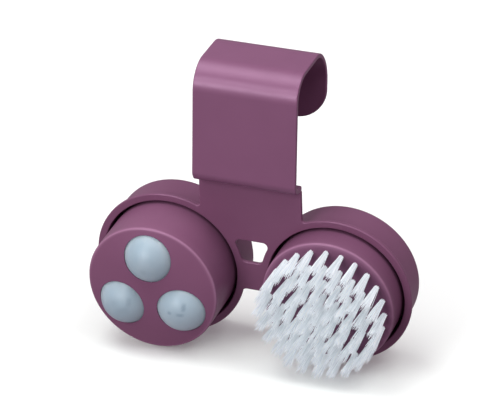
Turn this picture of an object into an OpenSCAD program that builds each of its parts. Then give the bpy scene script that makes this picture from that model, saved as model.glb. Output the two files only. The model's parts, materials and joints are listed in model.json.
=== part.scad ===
// Rim-hung holder for the two clip-on heads of a foot bath: a massage head with
// three roller balls on the left and a brush head on the right.
// X runs to the right, Y from the front to the back and Z up. The origin is on the
// surface that the holder stands on, under the middle of its box.

/* [Strap and hook] */
// Width of the strap
strap_w = 47.2; // [38:0.1:60]
// Thickness of the strap
strap_t = 2; // [1.5:0.1:2.6]
// Height of the strap's flat front above the step
front_h = 42.1; // [30:0.1:70]
// Outer radius of the bend from the front into the hook's top
front_bend_r = 12.5; // [6:0.1:20]
// Slope of the hook's top, rising to the back
top_slope = 5.8; // [0:0.1:10]
// Length of the flat stretch of the hook's top
top_len = 16; // [8:0.1:40]
// Outer radius of the bend at the back of the hook's top
back_bend_r = 8.3; // [5:0.1:14]
// Turn of the bend at the back of the hook's top
back_bend_turn = 40; // [20:1:60]
// Outer radius of the curve that leads down into the flap
flap_bend_r = 18; // [12:0.1:26]
// Height of the flap's lower edge above the step
flap_end_h = 20.8; // [10:0.1:28]
// Radius of the flap's lower corners
flap_corner_r = 14.2; // [4:0.1:16]

/* [Step and tongue] */
// Depth from the front of the strap back to the front of the yoke
step_depth = 7.8; // [6:0.1:12]
// Thickness of the step
step_t = 2.3; // [2:0.1:3.5]
// Outer radius of the strap's bottom edge
step_bend_r = 4.8; // [3:0.1:5.5]
// Radius in the corner between the strap's back and the step
step_fillet_r = 3; // [2:0.1:4]
// Depth of the yoke's top edge that the full width of the step covers
step_cover = 1.3; // [0.5:0.1:1.5]
// Width of the tongue behind the yoke
tongue_w = 34; // [28:0.1:36]
// Width of the shelf that carries the tongue behind the yoke
shelf_w = 38; // [37:0.1:44]
// Reach of the shelf behind the tongue
shelf_lip = 1; // [0.5:0.1:2]
// Length of the tongue below the step
tongue_len = 17; // [14:0.1:20]
// Thickness of the tongue
tongue_t = 2.8; // [2:0.1:3.5]
// Distance between the two strap screws
strap_screw_pitch = 20; // [16:0.1:24]
// Distance of the strap screws below the step
strap_screw_drop = 9.5; // [8:0.1:10]
// Thickness of plate left in front of a strap screw's hole
strap_screw_skin = 0.9; // [0.6:0.1:1.2]

/* [Yoke] */
// Lean of the yoke, its foot being behind its top
lean = 6.4; // [0:0.1:9]
// Thickness of the yoke's plate
plate_t = 2; // [1.6:0.1:3]
// Width of the yoke's neck
neck_w = 47; // [40:0.1:52]
// Distance of the flanges below the yoke's top edge
flange_drop = 12.7; // [10.5:0.1:25]
// Height of the window's top above the cup axes
window_top = 18.1; // [14:0.1:22]
// Height of the bridge's top above the cup axes
bridge_top = 7.2; // [4:0.1:10]
// Depth of the bridge's bottom below the cup axes
bridge_bottom = 6.7; // [4:0.1:10]
// Radius of the corners beside the window and the bridge
web_corner_r = 2.2; // [1:0.1:3]

/* [Cups] */
// Width of the flange round the bore of a cup
flange_w = 3.3; // [2.4:0.1:5]
// Gap between the two flanges, which the bridge spans
flange_gap = 7.6; // [6:0.1:16]
// Wall of a cup
cup_wall = 1.2; // [1:0.1:2]
// Depth of a cup, from the flange's front to its rear face
cup_depth = 18.8; // [18:0.1:24]
// Thickness of a cup's floor
cup_floor = 1.8; // [1.4:0.1:2.6]
// Radius of a cup's rear edge
cup_edge_r = 1.4; // [0.8:0.1:2]
// Radius of the boss under a peg
seat_r = 8; // [7.5:0.1:8.2]
// Height of the boss under a peg
seat_h = 1.5; // [1:0.1:2]

/* [Pegs] */
// Radius of a peg
peg_r = 5.2; // [4.5:0.1:5.4]
// Radius of a peg's foot
peg_foot_r = 7; // [6.5:0.1:7.4]
// Thickness of a peg's foot
peg_foot_t = 1.5; // [1:0.1:2]
// Length of a peg above its foot
peg_len = 10.5; // [9:0.1:12]
// Depth of the ring groove's middle below the peg's tip
groove_drop = 4.5; // [3.5:0.1:5]
// Radius of the round edge at a peg's tip
peg_tip_r = 1; // [0.5:0.1:1.5]
// Radius of a grip ring's section
ring_section_r = 0.9; // [0.7:0.05:1]

/* [Heads] */
// Radius of a head's drum
head_r = 30; // [28:0.1:32]
// Wall of a drum
head_wall = 1.8; // [1.4:0.1:2.4]
// Height of the crown of a head's face above its rim
crown_h = 4.1; // [3:0.1:5]
// Radius of the edge round a head's face
rim_fillet_r = 1.2; // [0.8:0.1:1.6]
// Thickness of a base cover
base_t = 3; // [2.6:0.1:4]
// Radius of the bore in a hub, which grips the ring on a peg
hub_bore_r = 5.6; // [5.5:0.1:5.9]
// Wall of a hub
hub_wall = 2.2; // [1.6:0.1:3]
// Depth of the hexagonal drive mouth in a hub
drive_depth = 4.5; // [4:0.1:5]
// Width across the flats of the drive mouth
drive_flats = 17; // [16.6:0.1:18]

/* [Massage head] */
// Height of the massage head's rim in front of the flange
massage_rise = 21.9; // [20:0.1:28]
// Thickness of the massage head's face
face_t = 2; // [1.6:0.1:2.4]
// Radius of a roller ball
ball_r = 12; // [11.6:0.1:12.2]
// Height by which a ball stands out of the face
ball_rise = 5.8; // [5:0.1:6.5]
// Distance of a ball's window from the head's axis, along the face
window_ring_r = 16.2; // [16.2:0.1:17]
// Direction of the first ball, anticlockwise from the right
ball_phase = 92; // [80:1:100]
// Radius of a ball's stub axles
axle_r = 1.5; // [1.2:0.1:2]
// Reach of a stub axle beyond the ball
axle_reach = 2.4; // [2:0.1:2.6]
// Thickness of a ball upright on each side of its slot
cheek_t = 1.5; // [1:0.1:2]
// Thickness of the ball carrier's plate
carrier_t = 2.2; // [1.6:0.1:2.6]

/* [Brush head] */
// Height of the brush head's rim in front of the flange
brush_rise = 10.7; // [9:0.1:16]
// Thickness of the block that holds the tufts
block_t = 5.5; // [5:0.1:7]
// Number of rings of tufts round the middle one
tuft_rings = 4; // [2:1:4]
// Distance of the outer ring of tufts from the head's side
tuft_margin = 3.92; // [3.6:0.02:6]
// Direction of the first tuft in each ring, where 90 is the top
tuft_phase = 90; // [0:5:90]
// Radius of a tuft at its root
tuft_root_r = 1.05; // [0.8:0.05:1.3]
// Radius of a tuft at its tips
tuft_tip_r = 2.1; // [1.5:0.05:2.6]
// Length of a tuft above the face
tuft_len = 17; // [12:0.5:22]
// Depth of a tuft's hole
tuft_hole = 4; // [3:0.1:4.5]

/* [Screws] */
// Radius of a screw's shank
screw_r = 1.45; // [1.2:0.05:1.6]
// Radius of a screw's head
screw_head_r = 2.9; // [2.6:0.1:3.1]
// Height of a screw's head
screw_head_h = 1.6; // [1.2:0.1:1.8]
// Length of the cross in a screw's head
cross_l = 3.8; // [3:0.1:4.4]
// Width of the cross in a screw's head
cross_w = 0.7; // [0.5:0.1:1]
// Depth of the cross in a screw's head
cross_depth = 0.9; // [0.6:0.1:1]
// Length of a peg screw's shank
peg_shank_l = 8; // [6:0.5:9]
// Length of a base screw's shank
base_shank_l = 9; // [6:0.5:11]
// Length of a carrier screw's shank
carrier_shank_l = 8; // [6:0.5:10]
// Radius of the washer under a strap screw's head
washer_r = 4.5; // [4:0.1:5]
// Thickness of the washer under a strap screw's head
washer_t = 0.7; // [0.5:0.1:1]
// Radius of a boss that a screw is driven into
boss_r = 3.2; // [2.8:0.1:3.4]
// Distance of the three base screws from a head's wall
base_screw_inset = 9.2; // [7:0.1:11]
// Distance of the three carrier screws from the head's wall
carrier_screw_inset = 5.2; // [4.2:0.1:6]

/* [Clearances] */
// Gap between a drum and the bore of its cup
head_play = 1.4; // [1:0.1:2]
// Gap between a head's rear and the cup's floor
head_gap = 0.8; // [0.4:0.1:1.5]
// Gap between flat faces that are seated on each other
seat_gap = 0.02; // [0.01:0.01:0.05]
// Radial gap round a screw, a tuft or a stub axle in its hole
fit_gap = 0.03; // [0.02:0.01:0.08]
// Radial gap round a screw in a clearance hole, and round a boss
free_gap = 0.15; // [0.1:0.05:0.4]
// Gap beyond a screw's tip in its hole
tip_gap = 0.3; // [0.1:0.1:0.5]
// Gap between a ball and the edge of its window
ball_gap = 0.2; // [0.1:0.05:0.3]

/* [Hidden] */
$fn = 96;
round_fn = 48;
small_fn = 24;
eps = 0.01;
mauve = "#82587a";
deep_mauve = "#6f4765";
pale_blue = "#a9b8c2";
bristle_white = "#dfe4e8";
steel = "#b8bcc0";
rubber_black = "#222222";

// Side view of the hook: the centres of its bends and where the straight parts end
front_c = [front_bend_r, front_h];
top_start = front_c + front_bend_r * [-sin(top_slope), cos(top_slope)];
top_end = top_start + top_len * [cos(top_slope), sin(top_slope)];
back_c = top_end + back_bend_r * [sin(top_slope), -cos(top_slope)];
flap_start_angle = 90 + top_slope - back_bend_turn;
flap_start = back_c + back_bend_r * [cos(flap_start_angle), sin(flap_start_angle)];
flap_c = flap_start - flap_bend_r * [cos(flap_start_angle), sin(flap_start_angle)];
flap_y = flap_c[0] + flap_bend_r;

// In front view, the cups hold the heads with some play, and their flanges set the pitch
cup_bore_r = head_r + head_play;
flange_r = cup_bore_r + flange_w;
cup_pitch = 2 * flange_r + flange_gap;
cup_drop = flange_drop + flange_r;
head_bore_r = head_r - head_wall;
base_screw_ring = head_bore_r - base_screw_inset;
carrier_screw_ring = head_bore_r - carrier_screw_inset;
tuft_pitch = (head_r - tuft_margin) / tuft_rings;

// The yoke's top edge stops under the step, and its foot is lowest at the flange's front
neck_top = -(plate_t * tan(lean) + seat_gap);
lift = (cup_drop + flange_r) * cos(lean);
tongue_back = (plate_t + tongue_t) / cos(lean);
boss_h = tongue_t - seat_gap;
washer_z = -plate_t - tongue_t - seat_gap;
strap_shank_l = -washer_z - strap_screw_skin - tip_gap;

// Along a cup's axis, outwards from the flange's front
floor_z = cup_floor - cup_depth;
sunk_h = screw_head_h + free_gap;
peg_screw_z = sunk_h - cup_depth - seat_gap;
seat_z = floor_z + seat_h;
foot_z = seat_z + seat_gap;
shaft_z = foot_z + peg_foot_t;
peg_tip_z = shaft_z + peg_len;
groove_z = peg_tip_z - groove_drop;
head_rear_z = floor_z + head_gap;
base_front_z = head_rear_z + base_t;
base_screw_z = head_rear_z + sunk_h - seat_gap;
hub_end_z = peg_tip_z + head_gap;
hub_top_z = hub_end_z + hub_wall;
ring_r = hub_bore_r - fit_gap - ring_section_r;
groove_r = ring_r - ring_section_r - fit_gap;
base_r = head_bore_r - seat_gap;

// The crown of a head's face is part of a sphere
crown_r = (head_r * head_r + crown_h * crown_h) / (2 * crown_h);
function crown_c(rim) = rim + crown_h - crown_r;
function face_z(rim, r) = crown_c(rim) + sqrt(crown_r * crown_r - r * r);

// The balls lie on lines from the crown's centre
ball_tilt = asin(window_ring_r / crown_r);
ball_depth = ball_r - ball_rise;
ball_ring_r = (crown_r - ball_depth) * sin(ball_tilt);
ball_z = crown_c(massage_rise) + (crown_r - ball_depth) * cos(ball_tilt);
carrier_front_z = ball_z - ball_r - ball_gap;
carrier_rear_z = carrier_front_z - carrier_t;
upright_t = axle_reach - fit_gap - free_gap;
screw_phase = ball_phase + 60;

// Front and back of the whole holder, which set where its middle is
function reach(r, z) = step_depth + (cup_drop - r) * sin(lean) - z * cos(lean);
function tuft_front(r) = reach(r + tuft_tip_r, face_z(brush_rise, r) + tuft_len);
front_y = min(reach(ball_ring_r, ball_z) - ball_r,
    min([for (i = [0:tuft_rings]) tuft_front(i * tuft_pitch)]));
mid_y = (front_y + flap_y) / 2;

// Places children drawn with the origin at the step's underside in the strap's front plane
module at_strap() {
    translate([0, -mid_y, lift]) children();
}

// Places children drawn on the yoke: X across, Y up its face, Z out of its front
module at_yoke() {
    at_strap() translate([0, step_depth, 0]) rotate([90 + lean, 0, 0]) children();
}

// Places children drawn on the axis of the left (-1) or the right (1) cup
module at_cup(side) {
    at_yoke() translate([side * cup_pitch / 2, -cup_drop, 0]) children();
}

// Turns a side view, drawn as [depth, height], into a piece of the given width
module across(w) {
    rotate([90, 0, 90]) translate([0, 0, -w / 2]) linear_extrude(w) children();
}

// Area under the hook's line in the side view, moved in from its outer face
module hook_area(inset, bottom) {
    down = inset * [sin(top_slope), -cos(top_slope)];
    far = 2 * flap_bend_r;
    mid_angle = flap_start_angle / 2;
    polygon([[inset, bottom], [inset, front_h], top_start + down, top_end + down, back_c,
        [flap_y - inset, flap_c[1]], [flap_y - inset, bottom]]);
    translate(front_c) circle(front_bend_r - inset);
    translate(back_c) circle(back_bend_r - inset);
    translate(flap_c) intersection() {
        circle(flap_bend_r - inset);
        polygon([[0, 0], far * [cos(flap_start_angle), sin(flap_start_angle)],
            far * [cos(mid_angle), sin(mid_angle)], [far, 0], [far, -1], [0, -1]]);
    }
}

module strap_profile() {
    difference() {
        hook_area(0, step_bend_r);
        hook_area(strap_t, -1);
        translate([strap_t, -1]) square([2 * strap_w, flap_end_h + 1]);
    }
}

// The rounded bottom edge and the step that runs back to the given depth
module step_profile(depth) {
    difference() {
        union() {
            square([depth, step_t]);
            square([strap_t, step_bend_r + eps]);
            square([strap_t + step_fillet_r, step_t + step_fillet_r]);
        }
        translate([strap_t + step_fillet_r, step_t + step_fillet_r]) circle(step_fillet_r);
        difference() {
            translate([-1, -1]) square(step_bend_r + 1);
            translate([step_bend_r, step_bend_r]) circle(step_bend_r);
        }
    }
}

// Cuts the flap's lower corners round
module flap_corners() {
    for (side = [-1, 1]) {
        translate([side * (strap_w / 2 - flap_corner_r), flap_c[0], flap_end_h + flap_corner_r])
        rotate([-90, 0, 0])
        difference() {
            translate([side > 0 ? 0 : -flap_corner_r - 1, 0, 0])
            cube([flap_corner_r + 1, flap_corner_r + 1, 2 * flap_bend_r]);
            translate([0, 0, -1]) cylinder(r = flap_corner_r, h = 2 * flap_bend_r + 2);
        }
    }
}

module tongue() {
    difference() {
        translate([-tongue_w / 2, -tongue_len, -plate_t - tongue_t])
        cube([tongue_w, tongue_len + step_t / 2, boss_h]);
        for (side = [-1, 1]) {
            translate([side * strap_screw_pitch / 2, -strap_screw_drop, -plate_t - tongue_t - 1])
            cylinder(r = boss_r + free_gap, h = tongue_t + 2, $fn = round_fn);
        }
    }
}

module hook_strap() {
    color(mauve) {
        at_strap() difference() {
            across(strap_w) {
                strap_profile();
                step_profile(step_depth + step_cover);
            }
            flap_corners();
        }
        at_strap() across(shelf_w) {
            translate([step_depth, 0]) square([tongue_back + shelf_lip, step_t]);
        }
        at_yoke() tongue();
    }
}

// The plate in front view, with Y = 0 at its top edge
module plate_outline() {
    difference() {
        union() {
            for (side = [-1, 1]) {
                translate([side * cup_pitch / 2, -cup_drop]) circle(flange_r);
            }
            translate([-neck_w / 2, window_top - cup_drop])
            square([neck_w, neck_top - window_top + cup_drop]);
            web_corners(window_top, -1);
            web_corners(bridge_top, 1);
            web_corners(-bridge_bottom, -1);
            translate([-cup_pitch / 4, -bridge_bottom - cup_drop])
            square([cup_pitch / 2, bridge_bottom + bridge_top]);
        }
        for (side = [-1, 1]) {
            translate([side * cup_pitch / 2, -cup_drop]) circle(cup_bore_r);
        }
    }
}

// Half the gap between two circles of radius r round the cup axes, at height h above the axes
function half_gap(r, h) = cup_pitch / 2 - sqrt(r * r - h * h);

// Rounds the corners between the flanges and a level edge at height h, above (1) or below (-1) it
module web_corners(h, up) {
    corner = half_gap(flange_r, h);
    mid_h = h + up * (web_corner_r - eps);
    mid = [half_gap(flange_r + web_corner_r - eps, mid_h), mid_h];
    axis = [cup_pitch / 2, 0];
    root = axis + (mid - axis) * (flange_r - 1) / (flange_r + web_corner_r);
    for (side = [-1, 1]) {
        translate([0, -cup_drop]) scale([side, 1]) difference() {
            polygon([[corner + 1, h - up], [mid[0], h - up], mid, root]);
            translate(mid) circle(web_corner_r, $fn = round_fn);
        }
    }
}

module cup_profile() {
    barrel_r = cup_bore_r + cup_wall;
    translate([cup_bore_r, -cup_depth + cup_edge_r]) square([cup_wall, cup_depth - cup_edge_r]);
    translate([0, -cup_depth]) square([barrel_r - cup_edge_r, cup_floor]);
    difference() {
        translate([barrel_r - cup_edge_r, -cup_depth + cup_edge_r]) circle(cup_edge_r, $fn = round_fn);
        translate([0, floor_z]) square([cup_bore_r, cup_depth]);
    }
    translate([0, floor_z - eps]) square([seat_r, seat_h + eps]);
}

module cup() {
    difference() {
        rotate_extrude() cup_profile();
        translate([0, 0, -cup_depth - 1])
        cylinder(r = screw_r + free_gap, h = cup_floor + seat_h + 2, $fn = small_fn);
        translate([0, 0, -cup_depth - 1])
        cylinder(r = screw_head_r + free_gap, h = sunk_h + 1, $fn = round_fn);
    }
}

module yoke() {
    color(deep_mauve) at_yoke() difference() {
        union() {
            translate([0, 0, -plate_t]) linear_extrude(plate_t) plate_outline();
            for (side = [-1, 1]) {
                translate([side * cup_pitch / 2, -cup_drop, 0]) cup();
                translate([side * strap_screw_pitch / 2, -strap_screw_drop, -plate_t - boss_h])
                cylinder(r = boss_r, h = boss_h + eps, $fn = round_fn);
            }
        }
        for (side = [-1, 1]) {
            translate([side * strap_screw_pitch / 2, -strap_screw_drop, -plate_t - boss_h - 1])
            cylinder(r = screw_r + fit_gap, h = plate_t + boss_h + 1 - strap_screw_skin, $fn = small_fn);
        }
    }
}

// Screw with its head at Z below 0 and its shank running up from Z = 0
module screw(length) {
    cylinder(r = screw_r, h = length, $fn = small_fn);
    difference() {
        translate([0, 0, -screw_head_h]) cylinder(r = screw_head_r, h = screw_head_h + eps, $fn = round_fn);
        cross_recess();
    }
}

module cross_recess() {
    for (turn = [0, 90]) {
        rotate(turn) translate([-cross_l / 2, -cross_w / 2, -screw_head_h - 1])
        cube([cross_l, cross_w, cross_depth + 1]);
    }
}

module strap_screws() {
    color(steel) at_yoke() for (side = [-1, 1]) {
        translate([side * strap_screw_pitch / 2, -strap_screw_drop, washer_z - washer_t]) {
            screw(washer_t + strap_shank_l);
            cylinder(r = washer_r, h = washer_t, $fn = round_fn);
        }
    }
}

module peg() {
    difference() {
        rotate_extrude() difference() {
            union() {
                translate([0, foot_z]) square([peg_foot_r, peg_foot_t]);
                translate([0, shaft_z - eps]) square([peg_r, peg_len - peg_tip_r + eps]);
                translate([0, shaft_z]) square([peg_r - peg_tip_r, peg_len]);
                translate([peg_r - peg_tip_r, peg_tip_z - peg_tip_r]) circle(peg_tip_r, $fn = round_fn);
            }
            translate([groove_r, groove_z - ring_section_r - fit_gap])
            square([peg_r, 2 * (ring_section_r + fit_gap)]);
        }
        translate([0, 0, peg_screw_z])
        cylinder(r = screw_r + fit_gap, h = peg_shank_l + tip_gap, $fn = small_fn);
    }
}

module left_peg() {
    color(deep_mauve) at_cup(-1) peg();
}

module right_peg() {
    color(deep_mauve) at_cup(1) peg();
}

module peg_screws() {
    color(steel) for (side = [-1, 1]) {
        at_cup(side) translate([0, 0, peg_screw_z]) screw(peg_shank_l);
    }
}

module grip_ring() {
    translate([0, 0, groove_z]) rotate_extrude()
    translate([ring_r, 0]) circle(ring_section_r, $fn = round_fn);
}

module left_grip_ring() {
    color(rubber_black) at_cup(-1) grip_ring();
}

module right_grip_ring() {
    color(rubber_black) at_cup(1) grip_ring();
}

// Half section of a drum's outside: straight side, rounded rim and crowned face
module drum_outside(rim) {
    fillet_z = crown_c(rim) + sqrt(pow(crown_r - rim_fillet_r, 2) - pow(head_r - rim_fillet_r, 2));
    touch_r = (head_r - rim_fillet_r) * crown_r / (crown_r - rim_fillet_r);
    translate([0, head_rear_z]) square([head_r, fillet_z - head_rear_z]);
    translate([head_r - rim_fillet_r, fillet_z]) circle(rim_fillet_r, $fn = round_fn);
    intersection() {
        translate([0, crown_c(rim)]) circle(crown_r, $fn = 360);
        translate([0, fillet_z - eps]) square([touch_r, 2 * crown_h]);
    }
}

// Half section of the room inside a drum, under a face of the given thickness
module drum_inside(rim, thickness) {
    intersection() {
        translate([0, crown_c(rim)]) circle(crown_r - thickness, $fn = 360);
        translate([0, head_rear_z - 1]) square([head_bore_r, rim + 2 * crown_h - head_rear_z]);
    }
}

module drum(rim, thickness) {
    rotate_extrude() difference() {
        drum_outside(rim);
        drum_inside(rim, thickness);
        translate([-crown_r, -crown_r]) square([crown_r, 3 * crown_r]);
    }
}

module around(phase, count, ring) {
    for (i = [0:count - 1]) {
        rotate(phase + i * 360 / count) translate([ring, 0, 0]) children();
    }
}

// Places children at the centre of ball i, with X pointing away from the head's axis
module at_ball(i) {
    rotate(ball_phase + i * 120) translate([ball_ring_r, 0, ball_z]) children();
}

module massage_drum() {
    color(mauve) at_cup(-1) difference() {
        union() {
            drum(massage_rise, face_t);
            intersection() {
                around(screw_phase, 3, carrier_screw_ring) {
                    translate([0, 0, carrier_front_z + seat_gap])
                    cylinder(r = boss_r, h = massage_rise - carrier_front_z, $fn = round_fn);
                }
                translate([0, 0, crown_c(massage_rise)]) sphere(crown_r - face_t / 2, $fn = 180);
            }
        }
        for (i = [0:2]) at_ball(i) sphere(ball_r + ball_gap);
        around(screw_phase, 3, carrier_screw_ring) {
            translate([0, 0, carrier_rear_z])
            cylinder(r = screw_r + fit_gap, h = carrier_shank_l + tip_gap, $fn = small_fn);
        }
    }
}

// A ball with a stub axle at each side, which lie across the head's radius
module roller_ball() {
    sphere(ball_r);
    rotate([90, 0, 0]) cylinder(r = axle_r, h = 2 * (ball_r + axle_reach), center = true, $fn = round_fn);
}

module massage_ball_top() {
    color(pale_blue) at_cup(-1) at_ball(0) roller_ball();
}

module massage_ball_left() {
    color(pale_blue) at_cup(-1) at_ball(1) roller_ball();
}

module massage_ball_right() {
    color(pale_blue) at_cup(-1) at_ball(2) roller_ball();
}

// Two uprights with open slots that carry the stub axles of one ball
module cradle() {
    slot_r = axle_r + fit_gap;
    w = 2 * (slot_r + cheek_t);
    drop = ball_z - carrier_front_z;
    for (side = [-1, 1]) {
        translate([0, side * (ball_r + free_gap + upright_t / 2), 0]) difference() {
            translate([-w / 2, -upright_t / 2, -drop - eps]) cube([w, upright_t, drop + eps + axle_r]);
            rotate([90, 0, 0]) cylinder(r = slot_r, h = 2 * upright_t, center = true, $fn = round_fn);
            translate([-slot_r, -upright_t, 0]) cube([2 * slot_r, 2 * upright_t, 2 * axle_r]);
        }
    }
}

module ball_carrier() {
    color(deep_mauve) at_cup(-1) difference() {
        union() {
            translate([0, 0, carrier_rear_z]) cylinder(r = base_r, h = carrier_t);
            for (i = [0:2]) at_ball(i) cradle();
            around(ball_phase, 3, base_screw_ring) {
                translate([0, 0, base_front_z + seat_gap])
                cylinder(r = boss_r, h = carrier_rear_z - base_front_z, $fn = round_fn);
            }
        }
        around(screw_phase, 3, carrier_screw_ring) {
            translate([0, 0, carrier_rear_z - 1])
            cylinder(r = screw_r + free_gap, h = carrier_t + 2, $fn = small_fn);
        }
        base_pilots(ball_phase);
    }
}

module carrier_screws() {
    color(steel) at_cup(-1) around(screw_phase, 3, carrier_screw_ring) {
        translate([0, 0, carrier_rear_z - seat_gap]) screw(carrier_shank_l);
    }
}

// Blind holes that the base screws are driven into
module base_pilots(phase) {
    around(phase, 3, base_screw_ring) {
        translate([0, 0, base_screw_z])
        cylinder(r = screw_r + fit_gap, h = base_shank_l + tip_gap, $fn = small_fn);
    }
}

// Rear cover of a head, with the hub that goes on a peg or on the bath's drive
module base_cover(phase) {
    hub_r = hub_bore_r + hub_wall;
    drive_r = drive_flats / sqrt(3);
    difference() {
        union() {
            translate([0, 0, head_rear_z]) cylinder(r = base_r, h = base_t);
            translate([0, 0, head_rear_z]) cylinder(r = drive_r + hub_wall, h = drive_depth + hub_wall);
            translate([0, 0, head_rear_z]) cylinder(r = hub_r, h = hub_top_z - head_rear_z);
        }
        translate([0, 0, head_rear_z - 1]) cylinder(r = hub_bore_r, h = hub_end_z - head_rear_z + 1);
        translate([0, 0, head_rear_z - 1]) cylinder(r = drive_r, h = drive_depth + 1, $fn = 6);
        around(phase, 3, base_screw_ring) {
            translate([0, 0, head_rear_z - 1])
            cylinder(r = screw_head_r + free_gap, h = sunk_h + 1, $fn = round_fn);
            translate([0, 0, head_rear_z - 1])
            cylinder(r = screw_r + free_gap, h = base_t + 2, $fn = small_fn);
        }
    }
}

module base_screws(phase) {
    around(phase, 3, base_screw_ring) {
        translate([0, 0, base_screw_z]) screw(base_shank_l);
    }
}

module massage_base() {
    color(deep_mauve) at_cup(-1) base_cover(ball_phase);
}

module massage_base_screws() {
    color(steel) at_cup(-1) base_screws(ball_phase);
}

// Places children at each tuft of ring i, with Z = 0 on the face
module at_tufts(i) {
    count = max(1, 6 * i);
    around(tuft_phase, count, i * tuft_pitch) {
        translate([0, 0, face_z(brush_rise, i * tuft_pitch)]) children();
    }
}

module tufts(i) {
    color(bristle_white) at_cup(1) at_tufts(i) {
        translate([0, 0, seat_gap - tuft_hole])
        cylinder(r = tuft_root_r, h = tuft_hole, $fn = small_fn);
        cylinder(r1 = tuft_root_r, r2 = tuft_tip_r, h = tuft_len, $fn = small_fn);
    }
}

module brush_drum() {
    color(mauve) at_cup(1) difference() {
        union() {
            drum(brush_rise, block_t);
            intersection() {
                around(ball_phase, 3, base_screw_ring) {
                    translate([0, 0, base_front_z + seat_gap])
                    cylinder(r = boss_r, h = brush_rise - base_front_z, $fn = round_fn);
                }
                translate([0, 0, crown_c(brush_rise)]) sphere(crown_r - block_t / 2, $fn = 180);
            }
        }
        for (i = [0:tuft_rings]) {
            at_tufts(i) translate([0, 0, -tuft_hole])
            cylinder(r = tuft_root_r + fit_gap, h = tuft_hole + 1, $fn = small_fn);
        }
        base_pilots(ball_phase);
    }
}

module brush_base() {
    color(deep_mauve) at_cup(1) base_cover(ball_phase);
}

module brush_base_screws() {
    color(steel) at_cup(1) base_screws(ball_phase);
}

module tuft_middle() {
    tufts(0);
}

module tuft_ring_1() {
    tufts(1);
}

module tuft_ring_2() {
    tufts(2);
}

module tuft_ring_3() {
    tufts(3);
}

module tuft_ring_4() {
    tufts(4);
}

hook_strap();
yoke();
strap_screws();
left_peg();
right_peg();
peg_screws();
left_grip_ring();
right_grip_ring();
massage_drum();
ball_carrier();
carrier_screws();
massage_base();
massage_base_screws();
massage_ball_top();
massage_ball_left();
massage_ball_right();
brush_drum();
brush_base();
brush_base_screws();
tuft_middle();
tuft_ring_1();
tuft_ring_2();
tuft_ring_3();
tuft_ring_4();
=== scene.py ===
# Holder for the two heads of a foot bath: a hook over the bath's rim, a yoke with two cups,
# a massage head with three balls and a brush head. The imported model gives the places,
# and this script gives each piece its finished surface.
import json
import math

import bpy
import bmesh
import numpy as np
from mathutils import Matrix, Vector
from mathutils.geometry import tessellate_polygon


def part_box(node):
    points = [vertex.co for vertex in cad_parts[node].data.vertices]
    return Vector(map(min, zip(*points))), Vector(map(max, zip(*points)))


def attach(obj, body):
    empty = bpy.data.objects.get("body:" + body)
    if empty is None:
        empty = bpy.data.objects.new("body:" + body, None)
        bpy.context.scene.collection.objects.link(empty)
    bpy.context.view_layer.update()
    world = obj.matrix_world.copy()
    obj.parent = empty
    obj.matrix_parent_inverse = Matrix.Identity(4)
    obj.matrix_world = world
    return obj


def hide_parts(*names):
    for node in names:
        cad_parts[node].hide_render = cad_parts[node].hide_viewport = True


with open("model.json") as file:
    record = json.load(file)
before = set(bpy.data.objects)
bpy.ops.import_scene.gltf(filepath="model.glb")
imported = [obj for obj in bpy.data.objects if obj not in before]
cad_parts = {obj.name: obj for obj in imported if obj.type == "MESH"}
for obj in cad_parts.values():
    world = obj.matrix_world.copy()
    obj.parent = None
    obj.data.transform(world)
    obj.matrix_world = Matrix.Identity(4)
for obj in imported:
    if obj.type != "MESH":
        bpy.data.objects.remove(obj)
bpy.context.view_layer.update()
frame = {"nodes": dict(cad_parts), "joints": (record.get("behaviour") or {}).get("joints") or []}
mm = 0.001
print("frame loaded:", len(frame["nodes"]), "nodes")


# The axes of the cups lie in the frame's joints: out of the face, across and up the yoke
joints = {joint["name"]: joint for joint in frame["joints"]}
axisOut = np.array(joints["massage_spin"]["axis"])
axisAcross = np.array([1.0, 0.0, 0.0])
axisUp = np.cross(axisOut, axisAcross)
leftCup = np.array(joints["massage_spin"]["pos_m"])      # on the flange's front
rightCup = np.array(joints["brush_spin"]["pos_m"])

yokeSizes = {
    "plate": 2.0,             # thickness of the plate
    "neckWidth": 47.0,
    "neckGap": 0.02,          # below the step
    "neckCorner": 0.4,        # round corners at the top of the neck
    "neckFoot": 1.2,          # round corner between neck and flange
    "cupDrop": 47.4,          # top edge down to the cup axes
    "flange": 34.7,
    "bore": 31.4,
    "wall": 1.2,
    "depth": 18.8,
    "floor": 1.8,
    "rearEdge": 1.4,          # radius round the cup's back
    "boreEdge": 0.5,          # round edge at the mouth of the bore
    "floorFillet": 1.0,
    "barrelFillet": 0.8,      # between barrel and flange
    "edge": 0.5,              # round edges of the plate
    "windowTop": 18.1,        # heights above the cup axes
    "bridgeTop": 7.2,
    "bridgeBottom": -6.7,
    "webCorner": 2.2,
    "seat": 8.0,              # boss under the peg
    "seatHeight": 1.5,
    "seatFillet": 0.4,
    "seatEdge": 0.3,
    "screwHole": 1.6,
    "holeEdge": 0.15,
    "screwSink": 3.05,
    "sinkDepth": 1.75,
    "sinkEdge": 0.25,
    "strapBoss": 3.2,
    "strapBossHeight": 2.78,
    "bossFillet": 0.3,
    "bossEdge": 0.25,
    "strapPilot": 1.48,
    "pilotEdge": 0.1,
    "strapSkin": 0.9,
    "strapScrewPitch": 20.0,
    "strapScrewDrop": 9.5,
    "ringSteps": 192,         # points round a cup
    "bossSteps": 48,
}
yokeTop = (leftCup + rightCup) / 2 + yokeSizes["cupDrop"] * mm * axisUp
yokeLean = math.acos(axisUp[2])
halfPitch = (rightCup - leftCup)[0] / 2 / mm
strapScrews = [(side * yokeSizes["strapScrewPitch"] / 2, -yokeSizes["strapScrewDrop"]) for side in (-1, 1)]


def placed(points, origin):
    # Places in millimetres across, up and out from an origin on the yoke's front, carried into the frame
    across, above, out = points[..., :1], points[..., 1:2], points[..., 2:3]
    return origin + (across * axisAcross + above * axisUp + out * axisOut) * mm


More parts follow.
